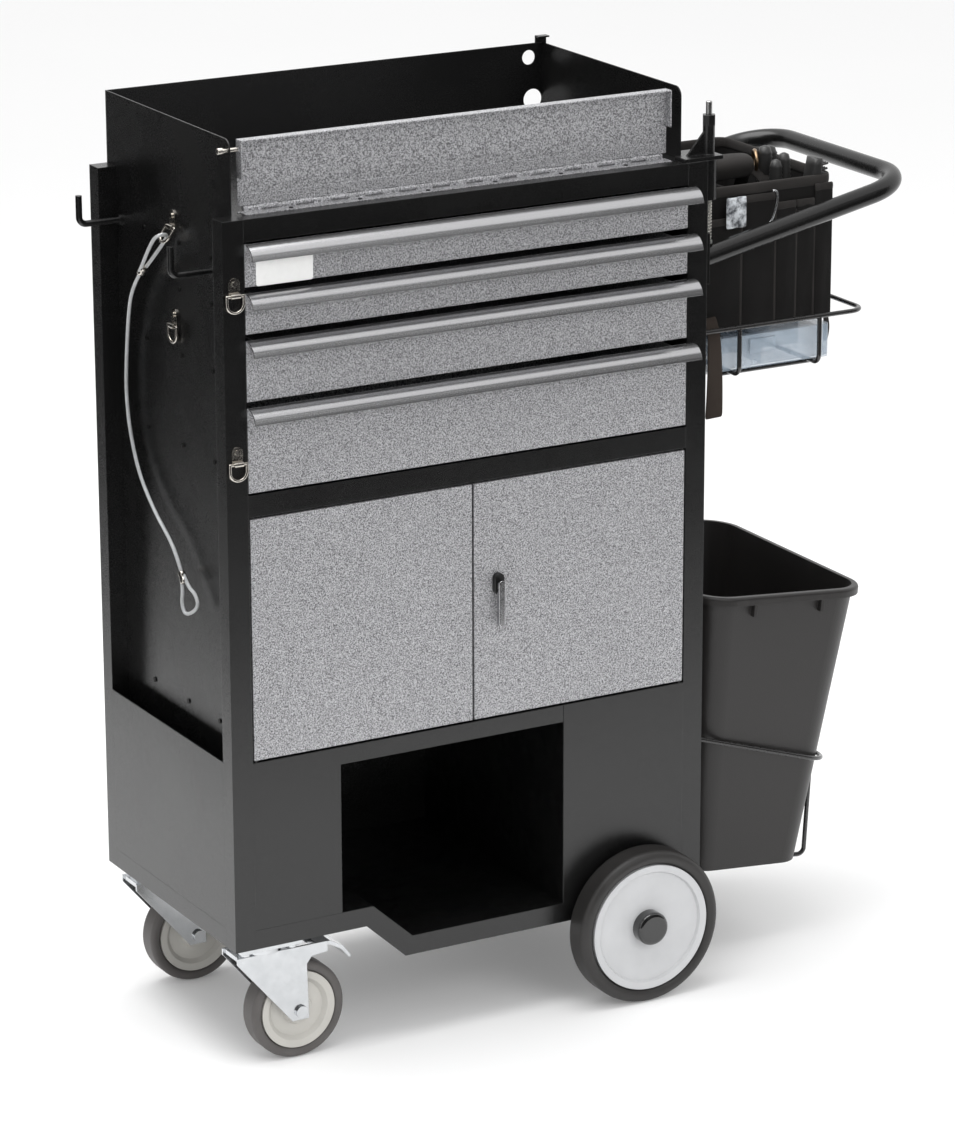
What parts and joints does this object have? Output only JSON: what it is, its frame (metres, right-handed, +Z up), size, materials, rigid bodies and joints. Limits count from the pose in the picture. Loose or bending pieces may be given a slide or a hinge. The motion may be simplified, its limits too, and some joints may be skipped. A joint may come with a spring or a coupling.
{
  "type": "housekeeping cart",
  "caption": "Wheeled steel service cart with drawers, two-door cupboard, open bay, top tray with drop flap, push handle, waste bin and tool bag.",
  "frame": {"origin": "middle of the whole cart's footprint, on the floor", "axes": "+Z up, -Y the side that the drawers and doors face, +X towards the push handle"},
  "size_m": [1.0255, 0.4704, 1.176],
  "materials": {
    "black_powder_coat": "fine-texture satin black powder coat",
    "silver_hammertone": "silver hammertone paint",
    "pull_silver": "smooth silver paint",
    "zinc_plate": "zinc plated steel",
    "spring_steel": "bright spring steel",
    "bright_zinc": "bright zinc plate",
    "beige_plastic": "moulded beige plastic",
    "grey_rubber": "grey tread",
    "black_rubber": "black moulded rubber",
    "white_disc": "pale grey moulded disc",
    "black_cap": "gloss black cap",
    "nickel_ring": "nickel plated",
    "bin_plastic": "grained black-brown plastic",
    "black_wire": "gloss black coated wire",
    "handle_black": "smooth satin black",
    "bag_nylon": "woven nylon",
    "tool_black": "moulded tool grips",
    "clear_plastic": "clear polypropylene",
    "cable_grey": "coated wire rope",
    "lock_dark": "dark plated lock case",
    "lock_chrome": "chrome plated lever"
  },
  "bodies": {
    "cart_frame": {"back_panel": "black_powder_coat", "base_pan": "black_powder_coat", "bay_walls": "black_powder_coat", "bin_holder": "black_wire", "caster_plates": "bright_zinc", "corner_posts": "black_powder_coat", "decks": "black_powder_coat", "door_pivots": "zinc_plate", "drawer_slides": "zinc_plate", "fasteners": "zinc_plate", "flap_hinge": "zinc_plate", "front_rails": "black_powder_coat", "hooks": "black_powder_coat", "lanyard_cable": "cable_grey", "lanyard_eyes": "cable_grey", "left_side_panel": "black_powder_coat", "lower_front_panels": "black_powder_coat", "post_bracket": "black_powder_coat", "push_handle": "handle_black", "right_side_panel": "black_powder_coat", "ring_tabs": "nickel_ring", "side_pocket": "black_powder_coat", "wheel_axle": "zinc_plate", "wire_basket": "black_wire"},
    "drawer_1": {"drawer_1": "silver_hammertone", "drawer_1_pull": "pull_silver"},
    "drawer_2": {"drawer_2": "silver_hammertone", "drawer_2_pull": "pull_silver"},
    "drawer_3": {"drawer_3": "silver_hammertone", "drawer_3_pull": "pull_silver"},
    "drawer_4": {"drawer_4": "silver_hammertone", "drawer_4_pull": "pull_silver"},
    "left_door": {"door_left": "silver_hammertone"},
    "right_door": {"door_right": "silver_hammertone", "lock_case": "lock_dark"},
    "lock": {"lock_lever": "lock_chrome"},
    "tray_flap": {"flap": "silver_hammertone"},
    "latch": {"flap_latch": "zinc_plate"},
    "front_caster": {"caster_fork_front": "bright_zinc"},
    "front_caster_wheel": {"caster_hub_front": "beige_plastic", "caster_tread_front": "grey_rubber"},
    "brake": {"brake_pedal": "bright_zinc"},
    "rear_caster": {"caster_fork_rear": "bright_zinc"},
    "rear_caster_wheel": {"caster_hub_rear": "beige_plastic", "caster_tread_rear": "grey_rubber"},
    "front_wheel": {"wheel_tyre_front": "black_rubber", "wheel_disc_front": "white_disc", "wheel_cap_front": "black_cap"},
    "rear_wheel": {"wheel_tyre_rear": "black_rubber", "wheel_disc_rear": "white_disc", "wheel_cap_rear": "black_cap"},
    "ring_1": {"d_ring_1": "nickel_ring"},
    "ring_2": {"d_ring_2": "nickel_ring"},
    "ring_3": {"d_ring_3": "nickel_ring"},
    "sprung_pin": {"lock_pin": "zinc_plate", "pin_spring": "spring_steel"},
    "bin": {"waste_bin": "bin_plastic"},
    "organizer_box": {"organizer": "clear_plastic"},
    "bag": {"tool_bag": "bag_nylon", "bag_tools": "tool_black"}
  },
  "joints": [
    {"name": "drawer_1_slide", "type": "slide", "parent": "cart_frame", "child": "drawer_1", "axis": [0, -1, 0], "range_m": [0, 0.28]},
    {"name": "drawer_2_slide", "type": "slide", "parent": "cart_frame", "child": "drawer_2", "axis": [0, -1, 0], "range_m": [0, 0.28]},
    {"name": "drawer_3_slide", "type": "slide", "parent": "cart_frame", "child": "drawer_3", "axis": [0, -1, 0], "range_m": [0, 0.28]},
    {"name": "drawer_4_slide", "type": "slide", "parent": "cart_frame", "child": "drawer_4", "axis": [0, -1, 0], "range_m": [0, 0.28]},
    {"name": "left_door_hinge", "type": "hinge", "parent": "cart_frame", "child": "left_door", "pos_m": [-0.44455, -0.1786, 0.409], "axis": [0, 0, -1], "range_deg": [0, 110]},
    {"name": "right_door_hinge", "type": "hinge", "parent": "cart_frame", "child": "right_door", "pos_m": [0.15505, -0.1786, 0.409], "axis": [0, 0, 1], "range_deg": [0, 110]},
    {"name": "lock_turn", "type": "hinge", "parent": "right_door", "child": "lock", "pos_m": [-0.11075, -0.182, 0.581], "axis": [0, 1, 0], "range_deg": [0, 90]},
    {"name": "flap_hinge_turn", "type": "hinge", "parent": "cart_frame", "child": "tray_flap", "pos_m": [-0.14475, -0.146, 1.0813], "axis": [1, 0, 0], "range_deg": [0, 90]},
    {"name": "latch_slide", "type": "slide", "parent": "cart_frame", "child": "latch", "axis": [1, 0, 0], "range_m": [0, 0.006]},
    {"name": "front_caster_swivel", "type": "hinge", "parent": "cart_frame", "child": "front_caster", "pos_m": [-0.42775, -0.144, 0.144], "axis": [0, 0, 1], "continuous": true},
    {"name": "front_caster_roll", "type": "hinge", "parent": "front_caster", "child": "front_caster_wheel", "pos_m": [-0.38175, -0.144, 0.0635], "axis": [0, 1, 0], "continuous": true},
    {"name": "front_wheel_roll", "type": "hinge", "parent": "cart_frame", "child": "front_wheel", "pos_m": [0.08825, -0.182, 0.1016], "axis": [0, 1, 0], "continuous": true},
    {"name": "rear_caster_swivel", "type": "hinge", "parent": "cart_frame", "child": "rear_caster", "pos_m": [-0.42775, 0.144, 0.144], "axis": [0, 0, 1], "continuous": true},
    {"name": "rear_caster_roll", "type": "hinge", "parent": "rear_caster", "child": "rear_caster_wheel", "pos_m": [-0.38175, 0.144, 0.0635], "axis": [0, 1, 0], "continuous": true},
    {"name": "rear_wheel_roll", "type": "hinge", "parent": "cart_frame", "child": "rear_wheel", "pos_m": [0.08825, 0.182, 0.1016], "axis": [0, 1, 0], "continuous": true},
    {"name": "brake_press", "type": "hinge", "parent": "front_caster", "child": "brake", "pos_m": [-0.35075, -0.144, 0.142], "axis": [0, 1, 0], "range_deg": [0, 14]},
    {"name": "ring_1_swing", "type": "hinge", "parent": "cart_frame", "child": "ring_1", "pos_m": [-0.45755, -0.001, 0.911], "axis": [0, 1, 0], "range_deg": [0, 150]},
    {"name": "ring_2_swing", "type": "hinge", "parent": "cart_frame", "child": "ring_2", "pos_m": [-0.46375, -0.1858, 0.988], "axis": [-1, 0, 0], "range_deg": [0, 150]},
    {"name": "ring_3_swing", "type": "hinge", "parent": "cart_frame", "child": "ring_3", "pos_m": [-0.46375, -0.1858, 0.784], "axis": [-1, 0, 0], "range_deg": [0, 150]},
    {"name": "pin_lift", "type": "slide", "parent": "cart_frame", "child": "sprung_pin", "axis": [0, 0, 1], "range_m": [0, 0.012], "stiffness_N_per_m": 800, "springref_m": -0.004, "deforming": ["pin_spring"]},
    {"name": "bin_lift", "type": "slide", "parent": "cart_frame", "child": "bin", "axis": [0, 0, 1], "range_m": [0, 0.25]},
    {"name": "organizer_lift", "type": "slide", "parent": "cart_frame", "child": "organizer_box", "axis": [0, 0, 1], "range_m": [0, 0.2]},
    {"name": "bag_lift", "type": "slide", "parent": "organizer_box", "child": "bag", "axis": [0, 0, 1], "range_m": [0, 0.3]}
  ]
}
